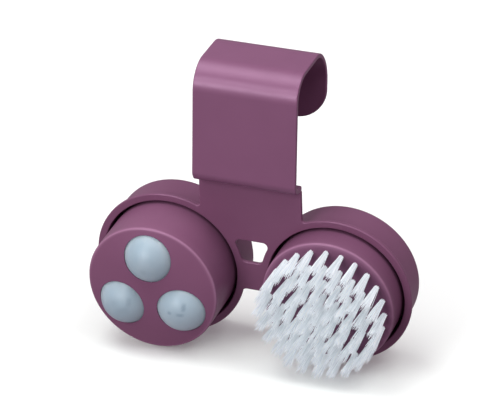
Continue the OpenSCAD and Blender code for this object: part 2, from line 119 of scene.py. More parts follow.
def carried(sheets, origin):
    # Every sheet of a piece, placed from the same origin
    return [(placed(points, origin), faces) for points, faces in sheets]


def fullTurn(steps):
    # Angles of so many points round a whole turn, the first at 0
    return np.arange(steps) * 2 * np.pi / steps


def unit(angle):
    # Directions at angles: the cosine and the sine of each
    return np.stack([np.cos(angle), np.sin(angle)], -1)


def arc(centre, radius, start, end, steps):
    # Points of a circle between two angles in degrees, both ends included
    return centre + radius * unit(np.radians(np.linspace(start, end, steps + 1)))


def circleLoop(centre, radius, steps):
    # Anticlockwise points of a whole circle, its first at angle 0
    return centre + radius * unit(fullTurn(steps))


def lifted(rows, height):
    # Rows of flat points, each row at its own height
    return np.concatenate([rows, np.broadcast_to(height[:, None, None], (*rows.shape[:2], 1))], -1)


def turned(profile, centre, angles):
    # A profile of radius and height, carried round an axis through centre
    return lifted(centre + profile[:, :1, None] * unit(angles), profile[:, 1])


def sheet(points, ring=True):
    # A grid of points becomes four-cornered faces between neighbouring rows and columns. In a ring
    # the last column meets the first.
    rows, columns = points.shape[:2]
    r = np.arange(rows - 1)[:, None]
    c = np.arange(columns if ring else columns - 1)[None, :]
    nextC = (c + 1) % columns
    here, above = r * columns, (r + 1) * columns
    faces = np.stack([here + c, here + nextC, above + nextC, above + c], -1)
    return points.reshape(-1, 3), faces.reshape(-1, 4)


def cap(loops, height):
    # A flat face inside the first loop and outside the others, cut into triangles
    flat = [np.column_stack([loop, np.zeros(len(loop))]) for loop in loops]
    triangles = np.array(tessellate_polygon([[Vector(p) for p in loop] for loop in flat]))
    points = np.concatenate(flat)
    points[:, 2] = height
    return points, np.column_stack([triangles, triangles[:, 2]])


weldReach = 0.0001 * mm


def welded(name, parts, closed=True, tone=None):
    # All sheets in one mesh: points within the weld's reach become one, faces that lose a side become
    # triangles, and each vertex takes the normal of its faces weighed by their areas. A tone for each
    # point becomes the attribute that a finish reads.
    offsets = np.cumsum([0] + [len(p) for p, _ in parts[:-1]])
    points = np.concatenate([p for p, _ in parts])
    faces = np.concatenate([f + o for (_, f), o in zip(parts, offsets)])
    key = np.round(points / weldReach).astype(np.int64)
    _, first, inverse = np.unique(key, axis=0, return_index=True, return_inverse=True)
    points, faces = points[first], inverse.reshape(-1)[faces]
    for _ in range(2):          # a doubled corner moves to the end of its face
        for i in range(3):
            double = faces[:, i] == faces[:, i + 1]
            faces[double] = np.roll(faces[double], -(i + 1), axis=1)
    double = faces[:, 3] == faces[:, 0]
    faces[double, 3] = faces[double, 2]
    triangle = faces[:, 2] == faces[:, 3]
    real = (faces[:, 0] != faces[:, 1]) & (faces[:, 1] != faces[:, 2]) & (faces[:, 0] != faces[:, 2])
    corners = [faces[real & triangle][:, :3], faces[real & ~triangle]]
    loops = np.concatenate([c.ravel() for c in corners])
    counts = np.concatenate([np.full(len(c), c.shape[1]) for c in corners])
    mesh = bpy.data.meshes.new(name)
    mesh.vertices.add(len(points))
    mesh.vertices.foreach_set("co", points.astype(np.float32).ravel())
    mesh.loops.add(len(loops))
    mesh.loops.foreach_set("vertex_index", loops.astype(np.int32))
    mesh.polygons.add(len(counts))
    mesh.polygons.foreach_set("loop_start", (np.cumsum(counts) - counts).astype(np.int32))
    mesh.polygons.foreach_set("use_smooth", np.ones(len(counts), bool))
    mesh.update(calc_edges=True)
    mesh.validate()
    if tone is not None:
        mark(mesh, "tone", tone[first])
    if closed:
        work = bmesh.new()
        work.from_mesh(mesh)
        bmesh.ops.recalc_face_normals(work, faces=work.faces)
        if work.calc_volume(signed=True) < 0:
            bmesh.ops.reverse_faces(work, faces=work.faces)
        openEdges = sum(1 for e in work.edges if len(e.link_faces) != 2)
        work.to_mesh(mesh)
        work.free()
        if openEdges:
            print("open edges on", name, openEdges)
    weighNormals(mesh)
    piece = bpy.data.objects.new(name, mesh)
    bpy.context.scene.collection.objects.link(piece)
    return piece


def mark(mesh, name, values):
    # One number for each vertex, as an attribute that a finish reads
    mesh.attributes.new(name, "FLOAT", "POINT").data.foreach_set("value", values.astype(np.float32))


def weighNormals(mesh):
    # The normal at a vertex is the sum of its faces' normals, each as long as the face is large
    count = len(mesh.polygons)
    normal, area = np.empty(count * 3), np.empty(count)
    mesh.polygons.foreach_get("normal", normal)
    mesh.polygons.foreach_get("area", area)
    totals = np.empty(count, np.int32)
    mesh.polygons.foreach_get("loop_total", totals)
    owner = np.repeat(np.arange(count), totals)
    corner = np.empty(len(mesh.loops), np.int32)
    mesh.loops.foreach_get("vertex_index", corner)
    weighed = normal.reshape(-1, 3) * area[:, None]
    total = np.zeros((len(mesh.vertices), 3))
    for k in range(3):
        total[:, k] = np.bincount(corner, weighed[owner, k], len(mesh.vertices))
    total /= np.maximum(np.linalg.norm(total, axis=1), np.finfo(float).tiny)[:, None]
    mesh.normals_split_custom_set_from_vertices(total)


def paint(mesh, material):
    # Makes a material the only one of a mesh
    mesh.materials.clear()
    mesh.materials.append(material)


def dress(piece, material, body, slot, *nodes):
    # Gives a piece its material and its body, and hides the nodes that it stands for. The slot is not used.
    paint(piece.data, material)
    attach(piece, body)
    if nodes:
        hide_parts(*nodes)


# Finishes

noiseLow, noiseHigh = 0.3, 0.7      # most values of a noise lie between these


def nodeMaterial(name):
    # An empty material with its surface shader and the object's own coordinates
    material = bpy.data.materials.new(name)
    material.use_nodes = True
    tree = material.node_tree
    shader = tree.nodes["Principled BSDF"]
    coordinates = tree.nodes.new("ShaderNodeTexCoord")
    return material, tree, shader, coordinates.outputs["Object"]


def fill(node, values):
    # Fixed values in a node's own sockets
    for socket, value in values.items():
        node.inputs[socket].default_value = value


def noise(tree, place, scale, detail=3.0, roughness=0.5, distortion=0.0):
    # Cloudy noise whose scale counts its waves per metre
    texture = tree.nodes.new("ShaderNodeTexNoise")
    fill(texture, {"Scale": scale, "Detail": detail, "Roughness": roughness, "Distortion": distortion})
    tree.links.new(place, texture.inputs["Vector"])
    return texture.outputs["Fac"]


def ramp(tree, value, stops):
    # A colour that runs through the stops as the value rises
    node = tree.nodes.new("ShaderNodeValToRGB")
    elements = node.color_ramp.elements
    while len(elements) < len(stops):
        elements.new(0.5)
    for element, (position, colour) in zip(elements, stops):
        element.position = position
        element.color = (*colour, 1.0)
    tree.links.new(value, node.inputs["Fac"])
    return node.outputs["Color"]


def spread(tree, value, low, high):
    # Stretches noise round its middle to a range from low to high
    node = tree.nodes.new("ShaderNodeMapRange")
    fill(node, {"From Min": noiseLow, "From Max": noiseHigh, "To Min": low, "To Max": high})
    tree.links.new(value, node.inputs["Value"])
    return node.outputs["Result"]


def bump(tree, height, distance, below=None):
    # Raises the surface by the height's share of the distance, on top of another bump
    node = tree.nodes.new("ShaderNodeBump")
    fill(node, {"Distance": distance, "Strength": 1.0})
    tree.links.new(height, node.inputs["Height"])
    if below is not None:
        tree.links.new(below, node.inputs["Normal"])
    return node.outputs["Normal"]


def mixedBy(tree, attribute, below, colour):
    # The colour below, which gives way to another one as the mesh's own attribute rises
    share = tree.nodes.new("ShaderNodeAttribute")
    share.attribute_name = attribute
    mixed = tree.nodes.new("ShaderNodeMix")
    mixed.data_type = "RGBA"
    fill(mixed, {"B": (*colour, 1.0)})
    tree.links.new(share.outputs["Fac"], mixed.inputs["Factor"])
    tree.links.new(below, mixed.inputs["A"])
    return mixed.outputs["Result"]


def skin(tree, place, shader, look):
    # A roughness that drifts between two values, and a fine grain
    rubbed = noise(tree, place, look["rubScale"], look["rubDetail"])
    tree.links.new(spread(tree, rubbed, *look["roughness"]), shader.inputs["Roughness"])
    grain = noise(tree, place, look["grainScale"], look["grainDetail"])
    tree.links.new(bump(tree, grain, look["grainDepth"]), shader.inputs["Normal"])


def milky(material, shader, look):
    # Light sinks in and spreads. A weak glow stands for what has come through from behind, and it
    # lights nothing else.
    fill(shader, {
        "Subsurface Weight": look["sinkWeight"],
        "Subsurface Radius": look["sinkTint"],
        "Subsurface Scale": look["sink"],
        "Emission Color": (*look["glow"], 1.0),
        "Emission Strength": look["glowStrength"]})
    material.cycles.emission_sampling = "NONE"


def plastic(name, colour, look):
    # Moulded plastic: colour that drifts a little, a fine skin of orange peel, faint flow waves,
    # and a roughness that varies where hands have polished it. Marked places turn to their own tones: a
    # painted highlight on the heads' rims and painted shade on the brush's face.
    material, tree, shader, place = nodeMaterial(name)
    drift = noise(tree, place, look["driftScale"], detail=2.0)
    tone = [tuple(c * (1 + s * look["drift"]) for c in colour) for s in (-1, 1)]
    base = ramp(tree, drift, [(noiseLow, tone[0]), (noiseHigh, tone[1])])
    for attribute, shade in look["marked"].items():
        base = mixedBy(tree, attribute, base, shade)
    tree.links.new(base, shader.inputs["Base Color"])
    rubbed = noise(tree, place, look["rubScale"], detail=5.0, roughness=0.6)
    roughness = spread(tree, rubbed, look["roughness"] - look["rub"], look["roughness"] + look["rub"])
    tree.links.new(roughness, shader.inputs["Roughness"])
    waves = bump(tree, noise(tree, place, look["waveScale"], detail=1.0), look["waveDepth"])
    peel = bump(tree, noise(tree, place, look["peelScale"], detail=2.0), look["peelDepth"], below=waves)
    tree.links.new(peel, shader.inputs["Normal"])
    fill(shader, {
        "IOR": look["ior"],
        "Specular IOR Level": look["specular"],
        "Specular Tint": (*look["specularTint"], 1.0)})
    return material


plasticLook = {
    "driftScale": 45.0, "drift": 0.03,
    "rubScale": 160.0, "roughness": 0.34, "rub": 0.03,
    "waveScale": 38.0, "waveDepth": 0.00006,
    "peelScale": 2600.0, "peelDepth": 0.000004,
    "ior": 1.5, "specular": 0.555, "specularTint": (1.0, 0.68, 0.94),
    "marked": {},                       # tone for each attribute of the mesh that marks a place
}
headLook = {
    **plasticLook,
    "roughness": 0.36, "specular": 0.28,
    # the round rim's pale tone is a painted highlight
    "marked": {"edge": (0.42, 0.23, 0.35)},
}
# The brush's face: painted shade among the tufts, on a darker copy of the head's mauve
brushShadedLook = {**headLook, "marked": {"deep": (0.085, 0.033, 0.063), **headLook["marked"]}}
mauves = {
    "holder": (0.189, 0.079, 0.147),
    # a little darker copy of the holder's mauve: painted shade on the yoke and its pegs
    "yoke": (0.184, 0.075, 0.139),
    "head": (0.201, 0.084, 0.153),
    # a darker copy of the head's mauve: painted shade from the tufts
    "brush": (0.182, 0.075, 0.139),
    "inner": (0.12, 0.055, 0.095),
}
holderPlastic = plastic("holderPlastic", mauves["holder"], plasticLook)
yokeShadedPlastic = plastic("yokeShadedPlastic", mauves["yoke"], plasticLook)
headPlastic = plastic("headPlastic", mauves["head"], headLook)
brushShadedPlastic = plastic("brushShadedPlastic", mauves["brush"], brushShadedLook)
innerPlastic = plastic("innerPlastic", mauves["inner"], {**plasticLook, "roughness": 0.5})


ballLook = {
    "cloudScale": 70.0, "cloudStops": (0.25, 0.45, 0.75),
    "clouds": ((0.265, 0.35, 0.405), (0.30, 0.39, 0.445), (0.335, 0.42, 0.47)),
    "ballSpots": (0.15, 0.21, 0.27),         # colour that the soft spots turn towards; a negative strength turns a spot lighter
    "sinkWeight": 1.0,
    "sink": 0.009,                      # how far light travels inside, in metres
    "sinkTint": (0.9, 1.0, 1.1),
    "glow": (0.60, 0.80, 0.88), "glowStrength": 0.08,
    "rubScale": 420.0, "rubDetail": 4.0, "roughness": (0.34, 0.44),
    "grainScale": 900.0, "grainDetail": 3.0, "grainDepth": 0.000006,
    "ior": 1.47,
}


def ballMaterial(look):
    # Cloudy pale plastic that light sinks into, with soft darker and lighter spots on its front
    material, tree, shader, place = nodeMaterial("ballPlastic")
    clouds = noise(tree, place, look["cloudScale"], detail=2.0, distortion=0.6)
    tone = ramp(tree, clouds, list(zip(look["cloudStops"], look["clouds"])))
    tree.links.new(mixedBy(tree, "ballSpots", tone, look["ballSpots"]), shader.inputs["Base Color"])
    skin(tree, place, shader, look)
    milky(material, shader, look)
    fill(shader, {"IOR": look["ior"]})
    return material


bristleLook = {
    "deep": (0.51, 0.56, 0.60), "pale": (0.84, 0.88, 0.91),
    "rubScale": 900.0, "roughness": (0.3, 0.5),
    "sinkWeight": 0.5, "sink": 0.001, "sinkTint": (1.0, 1.0, 1.0),
    "glow": (0.90, 0.96, 0.99), "glowStrength": 0.2,
}


def bristleMaterial(look):
    # White nylon filaments: each one a little lighter or darker, and milky where light passes
    material, tree, shader, place = nodeMaterial("bristleNylon")
    filament = tree.nodes.new("ShaderNodeAttribute")
    filament.attribute_name = "tone"
    tone = ramp(tree, filament.outputs["Fac"], [(0.0, look["deep"]), (1.0, look["pale"])])
    tree.links.new(tone, shader.inputs["Base Color"])
    rubbed = noise(tree, place, look["rubScale"])
    tree.links.new(spread(tree, rubbed, *look["roughness"]), shader.inputs["Roughness"])
    milky(material, shader, look)
    return material


steelLook = {
    "spotScale": 700.0, "deep": (0.42, 0.43, 0.45), "pale": (0.66, 0.67, 0.68),
    "rubScale": 1500.0, "rubDetail": 4.0, "roughness": (0.22, 0.42),
    "grainScale": 2400.0, "grainDetail": 2.0, "grainDepth": 0.000008,
    "metallic": 1.0,
}
rubberLook = {
    "spotScale": 900.0, "deep": (0.012, 0.012, 0.013), "pale": (0.028, 0.027, 0.028),
    "rubScale": 500.0, "rubDetail": 3.0, "roughness": (0.55, 0.75),
    "grainScale": 3500.0, "grainDetail": 2.0, "grainDepth": 0.00001,
    "metallic": 0.0,
}


def spottedMaterial(name, look):
    # Zinc-plated steel with dull spots, or nitrile rubber with a slightly dusty skin: cloudy noise
    # runs the tone from deep to pale
    material, tree, shader, place = nodeMaterial(name)
    spots = noise(tree, place, look["spotScale"], detail=4.0)
    tone = ramp(tree, spots, [(noiseLow, look["deep"]), (noiseHigh, look["pale"])])
    tree.links.new(tone, shader.inputs["Base Color"])
    skin(tree, place, shader, look)
    fill(shader, {"Metallic": look["metallic"]})
    return material


ballPlastic = ballMaterial(ballLook)
bristleNylon = bristleMaterial(bristleLook)
screwSteel = spottedMaterial("screwSteel", steelLook)
ringRubber = spottedMaterial("ringRubber", rubberLook)
print("finishes made")


# The hook: a flat strap bent over the rim, with the step back at its foot

hookSizes = {
    "width": 47.2,
    "thick": 2.0,
    "frontHeight": 42.1,
    "frontBend": 12.5,        # outer radii of the bends
    "topSlope": 5.8,          # degrees
    "topLength": 14.2,
    "backBend": 11.0,
    "backTurn": 40.0,         # degrees
    "flapBend": 18.0,
    "flapEnd": 20.8,
    "flapCorner": 14.2,
    "stepEnd": 9.1,           # depth that the step reaches at full width
    "stepThick": 2.3,
    "stepBend": 4.8,
    "stepFillet": 3.0,
    "stepCorner": 0.8,        # round corners of the step's rear edge
    "edge": 0.5,              # round edges of the strap
    "columns": 24,
    "stepStations": 7,        # stations round the step's corners
    "flapStations": 25,       # and round the flap's
    "frontSteps": 15,
    "topSteps": 7,
    "shelfWidth": 38.0,
    "shelfStart": 8.2,
    "shelfReach": 7.8,        # depth at which the shelf meets the yoke's plate
    "shelfLip": 1.0,          # reach of the shelf behind the tongue
    "shelfCorner": 0.9,
    "shelfGap": 0.01,         # between its faces and the step's
    "tongueWidth": 34.0,
    "tongueLength": 17.0,
    "tongueThick": 2.8,
    "tongueCorner": 1.0,
    "tongueEdge": 0.35,
    "bossHole": 3.35,
}
strapOrigin = np.array([0.0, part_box("hook_strap")[0][1], yokeTop[2]])


def hookRoute(s):
    # Outer and inner line of the strap in side view, station by station: step, bottom bend,
    # front, bend, top, two bends and the flap. Bends keep their centre for both lines.
    t, slope = s["thick"], math.radians(s["topSlope"])
    topWay, topOut = unit(slope), unit(slope + math.pi / 2)
    frontC = np.array([s["frontBend"], s["frontHeight"]])
    topStart = frontC + s["frontBend"] * topOut
    backC = topStart + s["topLength"] * topWay - s["backBend"] * topOut
    meet = 90 + s["topSlope"]
    leave = meet - s["backTurn"]
    flapC = backC + (s["backBend"] - s["flapBend"]) * unit(math.radians(leave))
    flapY = flapC[0] + s["flapBend"]
    bottomC = np.array([s["stepBend"], s["stepBend"]])
    filletC = np.array([t + s["stepFillet"], s["stepThick"] + s["stepFillet"]])
    stepCorner, flapCorner = s["stepCorner"] - s["edge"], s["flapCorner"] - s["edge"]
    stepTurn = np.radians(np.linspace(90, 0, s["stepStations"]))
    flapTurn = np.radians(np.linspace(0, 90, s["flapStations"]))
    stepY = s["stepEnd"] - s["stepCorner"] + stepCorner * np.sin(stepTurn)
    flapZ = s["flapEnd"] + s["flapCorner"] - flapCorner * np.sin(flapTurn)
    frontZ = np.linspace(filletC[1], s["frontHeight"], s["frontSteps"] + 1)[1:-1]
    top = topStart + s["topLength"] * topWay * np.linspace(0, 1, s["topSteps"] + 1)[1:-1, None]

    def line(y, z):
        # Points of a stretch, where a single depth or height holds for all of it
        return np.stack(np.broadcast_arrays(y, z), -1)

    def bend(centre, radius, start, end, steps):
        # Both lines of a bend
        return [arc(centre, r, start, end, steps) for r in (radius, radius - t)]

    stretches = [
        (line(stepY, 0.0), line(stepY, s["stepThick"])),
        (arc(bottomC, s["stepBend"], 270, 180, steps=14), arc(filletC, s["stepFillet"], 270, 180, steps=14)),
        (line(0.0, frontZ), line(t, frontZ)),
        bend(frontC, s["frontBend"], 180, meet, steps=26),
        (top, top - t * topOut),
        bend(backC, s["backBend"], meet, leave, steps=14),
        [side[1:] for side in bend(flapC, s["flapBend"], leave, 0, steps=22)],
        (line(flapY, flapZ), line(flapY - t, flapZ))]
    return [np.concatenate(side) for side in zip(*stretches)]


def roundedEdge(edge, thick, steps=5):
    # Half round from one face to the other: how far out of the inset line, and how deep
    angle = np.radians(np.linspace(0, 90, steps + 1))
    out = np.concatenate([edge * np.sin(angle), edge * np.sin(angle)[::-1]])
    deep = np.concatenate([edge * (1 - np.cos(angle)), thick - edge * (1 - np.cos(angle))[::-1]])
    return out, deep


def makeHook():
    # The faces are grids of stations along the strap and columns across it. The edge is one closed
    # band round both faces: the half round, carried along the outline that lies inside them.
    s = hookSizes
    outer, inner = hookRoute(s)
    count, middle = len(outer), np.arange(1, s["columns"])
    half = np.full(count, s["width"] / 2 - s["edge"])
    outX, outS = np.ones(count), np.zeros(count)
    forward = np.gradient(outer, axis=0)
    ends = [(slice(s["stepStations"]), -1, (90, 0, s["stepStations"]), s["stepCorner"], (-1.0, 0.0)),
            (slice(-s["flapStations"], None), 1, (0, 90, s["flapStations"]), s["flapCorner"], (0.0, -1.0))]
    for part, sign, turns, corner, way in ends:      # round corners of the step and of the flap
        angle = np.radians(np.linspace(*turns))
        half[part] = s["width"] / 2 - corner + (corner - s["edge"]) * np.cos(angle)
        outX[part], outS[part] = np.cos(angle), sign * np.sin(angle)
        forward[part] = way
    forward /= np.linalg.norm(forward, axis=1)[:, None]
    share = np.linspace(-1, 1, s["columns"] + 1)
    x = half[:, None] * share
    faces = [np.concatenate([x[..., None], np.broadcast_to(line[:, None], (*x.shape, 2))], -1)
             for line in (outer, inner)]
    station = np.concatenate([np.arange(count), np.full(len(middle), count - 1), np.arange(count)[::-1],
                              np.zeros(len(middle), int)])
    across = np.concatenate([half, half[-1] * share[middle][::-1], -half[::-1], half[0] * share[middle]])
    goX = np.concatenate([outX, np.zeros(len(middle)), -outX[::-1], np.zeros(len(middle))])
    goS = np.concatenate([outS, np.ones(len(middle)), outS[::-1], -np.ones(len(middle))])
    out, deep = roundedEdge(s["edge"], s["thick"])
    yz = outer[station] + (inner - outer)[station] * (deep[:, None] / s["thick"])[..., None]
    yz = yz + forward[station] * (out[:, None] * goS)[..., None]
    band = np.concatenate([(across + out[:, None] * goX)[..., None], yz], -1)
    parts = [sheet(faces[0], ring=False), sheet(faces[1], ring=False), sheet(band)]
    return welded("hookStrap", [(strapOrigin + points * mm, f) for points, f in parts])


def bandOutline(outline, out):
    # The outline moved outwards along its own normals, which are square to its direction
    ahead = np.roll(outline, -1, axis=0) - outline
    behind = outline - np.roll(outline, 1, axis=0)
    ahead /= np.linalg.norm(ahead, axis=1)[:, None]
    behind /= np.linalg.norm(behind, axis=1)[:, None]
    along = ahead + behind
    along /= np.linalg.norm(along, axis=1)[:, None]
    normal = np.stack([along[:, 1], -along[:, 0]], -1)
    return outline + normal * out


def roundedRectangle(x0, x1, y0, y1, corner, steps=8):
    # Anticlockwise outline with round corners, a quarter turn each
    left, right, low, high = x0 + corner, x1 - corner, y0 + corner, y1 - corner
    corners = {270: (right, low), 0: (right, high), 90: (left, high), 180: (left, low)}
    return np.concatenate([arc(place, corner, start, start + 90, steps) for start, place in corners.items()])


def edgeBand(outline, out, height):
    # Rings along an outline: each one lies outwards of it along its normals, at its own height
    rings = np.stack([bandOutline(outline, o) for o in out])
    return rings, lifted(rings, height)


def plate(outline, holes, top, thick, edge):
    # A flat plate: two capped faces, a half round carried along the outline, and one along each hole.
    # The outline is anticlockwise and holes are centre, radius and number of points.
    out, deep = roundedEdge(edge, thick)
    rings, band = edgeBand(outline, out - edge, top - deep)
    holeLoops = [circleLoop(c, r + edge, n) for c, r, n in holes]
    parts = [sheet(band)]
    parts += [cap([rings[0]] + holeLoops, top), cap([rings[-1]] + holeLoops, top - thick)]
    for c, r, n in holes:
        parts.append(sheet(turned(np.column_stack([r + edge - out, top - deep]), c, fullTurn(n))))
    return parts


def makeTongue():
    # The shelf behind the step and the tongue that hangs from it, with holes for the yoke's bosses
    s, y = hookSizes, yokeSizes
    depth = (y["plate"] + s["tongueThick"]) / math.cos(yokeLean) + s["shelfLip"]
    half, end = s["shelfWidth"] / 2, s["shelfReach"] + depth
    outline = roundedRectangle(-half, half, s["shelfStart"], end, s["shelfCorner"])
    top, thick = s["stepThick"] - s["shelfGap"], s["stepThick"] - 2 * s["shelfGap"]
    shelf = plate(outline, [], top, thick, s["tongueEdge"])
    parts = [(strapOrigin + points * mm, faces) for points, faces in shelf]
    half = s["tongueWidth"] / 2
    outline = roundedRectangle(-half, half, -s["tongueLength"], s["stepThick"] / 2, s["tongueCorner"])
    holes = [(place, s["bossHole"], y["bossSteps"]) for place in strapScrews]
    top, thick = -y["plate"] - y["neckGap"], s["tongueThick"] - y["neckGap"]
    tongue = plate(outline, holes, top, thick, s["tongueEdge"])
    parts += carried(tongue, yokeTop)
    return welded("hookTongue", parts)


dress(makeHook(), holderPlastic, "holder", "holder_plastic", "hook_strap")
dress(makeTongue(), holderPlastic, "holder", "holder_plastic")
print("hook made")


# The yoke: one shell of plate, flanges, bridge, cups and bosses

def filletCentre(level, up, s):
    # Centre of the round corner between a flange and a level edge, above or below that edge
    height = level + up * s["webCorner"]
    reach = s["flange"] + s["webCorner"]
    return np.array([halfPitch - math.sqrt(reach ** 2 - height ** 2), height])


def yokeOutlines(s):
    # The outer outline and the window, inside their round edges, as arcs about the cup axes.
    # Angles are taken from the centres of the round corners.
    flange, inset, corner = s["flange"] - s["edge"], s["edge"], s["webCorner"] + s["edge"]
    right = np.array([halfPitch, 0.0])

    def angleOf(point):
        # Degrees up from the across axis
        return math.degrees(math.atan2(point[1], point[0]))

    low = filletCentre(s["bridgeBottom"], -1, s)
    neck, neckR, footR = s["neckWidth"] / 2 - inset, s["neckCorner"], s["neckFoot"] + inset
    foot = np.array([neck + footR, 0.0])
    foot[1] = math.sqrt((s["flange"] + s["neckFoot"]) ** 2 - (foot[0] - right[0]) ** 2)
    top = s["cupDrop"] - s["plate"] * math.tan(yokeLean) - s["neckGap"] - inset
    half = np.concatenate([
        arc(low, corner, 90, angleOf(right - low), steps=10),
        arc(right, flange, angleOf(low - right), angleOf(foot - right), steps=150)[1:-1],
        arc(foot, footR, angleOf(right - foot) + 360, 180, steps=8),
        arc((neck - neckR, top - neckR), neckR, 0, 90, steps=6)])
    topC, bottomC = filletCentre(s["windowTop"], -1, s), filletCentre(s["bridgeTop"], 1, s)
    windowHalf = np.concatenate([
        arc(bottomC, s["webCorner"], 270, angleOf(right - bottomC) + 360, steps=8),
        arc(right, s["flange"], angleOf(bottomC - right) % 360, angleOf(topC - right) % 360, steps=20)[1:-1],
        arc(topC, s["webCorner"], angleOf(right - topC), 90, steps=8)])
    return [np.concatenate([side, side[::-1] * [-1, 1]]) for side in (half, windowHalf)]


def cupProfile(s):
    # From the mouth of the bore down its wall, over the floor and the seat to the screw hole,
    # through it, and back over the rear face and up the barrel to the flange's back
    e, f, b = s["boreEdge"], s["floorFillet"], s["barrelFillet"]
    seatF, seatE, holeE, sinkE = s["seatFillet"], s["seatEdge"], s["holeEdge"], s["sinkEdge"]
    floorZ, rear = s["floor"] - s["depth"], -s["depth"]
    barrel = s["bore"] + s["wall"]
    seatZ, sinkZ = floorZ + s["seatHeight"], rear + s["sinkDepth"]
    return np.concatenate([
        arc((s["bore"] + e, -e), e, 90, 180, steps=5),
        arc((s["bore"] - f, floorZ + f), f, 0, -90, steps=6),
        arc((s["seat"] + seatF, floorZ + seatF), seatF, 270, 180, steps=3),
        arc((s["seat"] - seatE, seatZ - seatE), seatE, 0, 90, steps=3),
        arc((s["screwHole"] + holeE, seatZ - holeE), holeE, 90, 180, steps=2),
        [[s["screwHole"], sinkZ]],
        [[s["screwSink"], sinkZ]],
        arc((s["screwSink"] + sinkE, rear + sinkE), sinkE, 180, 270, steps=3),
        arc((barrel - s["rearEdge"], rear + s["rearEdge"]), s["rearEdge"], 270, 360, steps=8),
        arc((barrel + b, -s["plate"] - b), b, 180, 90, steps=5)])


def bossProfile(s):
    # Round boss behind the plate, and the blind hole in it
    f, e, p = s["bossFillet"], s["bossEdge"], s["pilotEdge"]
    end = -s["plate"] - s["strapBossHeight"]
    return np.concatenate([
        arc((s["strapBoss"] + f, -s["plate"] - f), f, 90, 180, steps=3),
        arc((s["strapBoss"] - e, end + e), e, 0, -90, steps=3),
        [[s["strapPilot"] + p, end]],
        [[s["strapPilot"], end + p]],
        [[s["strapPilot"], -s["strapSkin"]]],
        [[0.0, -s["strapSkin"]]]])


def makeYoke():
    # Round edges along the outline and the window, cups and bosses turned from their profiles, and two
    # flat faces that join them. Heights are measured from the cup axes and moved down from the top.
    s = yokeSizes
    outer, window = yokeOutlines(s)
    drop = np.array([0.0, -s["cupDrop"]])
    outer, window = outer + drop, window + drop
    out, deep = roundedEdge(s["edge"], s["plate"])
    rings, band = edgeBand(outer, out, -deep)
    windowRings, windowBand = edgeBand(window, s["edge"] - out, -deep)
    cups = [(-halfPitch, -s["cupDrop"]), (halfPitch, -s["cupDrop"])]
    profile, boss = cupProfile(s), bossProfile(s)
    parts = [band, windowBand] + [turned(profile, c, fullTurn(s["ringSteps"])) for c in cups]
    parts += [turned(boss, c, fullTurn(s["bossSteps"])) for c in strapScrews]
    parts = [sheet(points) for points in parts]
    mouths = [circleLoop(c, profile[0, 0], s["ringSteps"]) for c in cups]
    barrels = [circleLoop(c, profile[-1, 0], s["ringSteps"]) for c in cups]
    roots = [circleLoop(c, boss[0, 0], s["bossSteps"]) for c in strapScrews]
    parts.append(cap([rings[0], windowRings[0]] + mouths, 0.0))
    parts.append(cap([rings[-1], windowRings[-1]] + barrels + roots, -s["plate"]))
    return welded("yokeShell", carried(parts, yokeTop))


dress(makeYoke(), yokeShadedPlastic, "holder", "holder_plastic", "yoke")
print("yoke made")


# The two heads

headSizes = {
    "radius": 30.0,
    "wall": 1.8,
    "crown": 4.1,             # height of the crown above the rim
    "rimFillet": 1.2,
    "rearEdge": 0.5,
    "rear": -16.2,            # where the drum ends inside the cup
    "sideSteps": 9,
    "massageRim": 21.9,
    "massageFace": 2.0,
    "brushRim": 10.7,
    "brushFace": 5.5,
    "arcSteps": 72,           # points of the rim for each ball
    "spokeSteps": 34,
    "faceRows": 14,
    "faceSteps": 24,          # points from the middle of the brush's face to its edge
    "undersideSteps": 12,
    "rimHighlight": 0.45,             # how far the middle of the round rim is painted pale, as a painted highlight
    "rimHighlightAngle": 45.0,        # degrees round the rim, from its side to its face
    "rimHighlightSpread": 30.0,
    "shade": 0.6,             # how far the brush's face turns to its painted shade among the tufts
    "shadeReach": 28.0,       # distance from the axis where half of that is left
    "shadeFade": 0.5,
}
ballSizes = {
    "radius": 12.0,
    "rise": 5.8,              # out of the face
    "ring": 16.2,             # window centre from the axis
    "phase": 92.0,            # degrees
    "gap": 0.2,
    "lip": 0.25,              # round edge of a window
    "lipSteps": 4,
    "axle": 1.5,
    "axleReach": 2.4,
    "axleEdge": 0.3,          # bevel of an axle's end
    "seam": 0.05,             # height of the weld line round a ball
    "seamWidth": 1.2,         # degrees
    "profileSteps": 64,
    "turnSteps": 96,
}
thirdTurn = 120               # degrees from ball to ball
crownR = (headSizes["radius"] ** 2 + headSizes["crown"] ** 2) / (2 * headSizes["crown"])


def crownCentre(rim):
    # Height of the centre of a face's sphere, from the height of the rim that it meets
    return rim + headSizes["crown"] - crownR


def crownHeight(rim, radius, below=0.0):
    # Height of a face at a distance from its axis, or of the sphere that lies so deep under it:
    # the root of the sphere's radius squared less the distance squared
    return crownCentre(rim) + np.sqrt((crownR - below) ** 2 - radius ** 2)


def rimCircle(rim):
    # Middle of the round rim's section, which touches the side and the face
    radius = headSizes["radius"] - headSizes["rimFillet"]
    return radius, crownHeight(rim, radius, headSizes["rimFillet"])


def rimProfile(rim, face):
    # From the face's edge over the round rim, down the side, round the rear edge and up the inside
    # wall to the underside of the face
    h = headSizes
    filletR, filletZ = rimCircle(rim)
    start = math.degrees(math.atan2(filletZ - crownCentre(rim), filletR))
    bore = h["radius"] - h["wall"]
    side = np.linspace(filletZ, h["rear"] + h["rearEdge"], h["sideSteps"] + 1)[1:-1]
    return np.concatenate([
        arc((filletR, filletZ), h["rimFillet"], start, 0, steps=8),
        np.column_stack([np.full(len(side), h["radius"]), side]),
        arc((h["radius"] - h["rearEdge"], h["rear"] + h["rearEdge"]), h["rearEdge"], 0, -90, steps=4),
        [[bore, h["rear"]]],
        [[bore, crownHeight(rim, bore, face)]]])


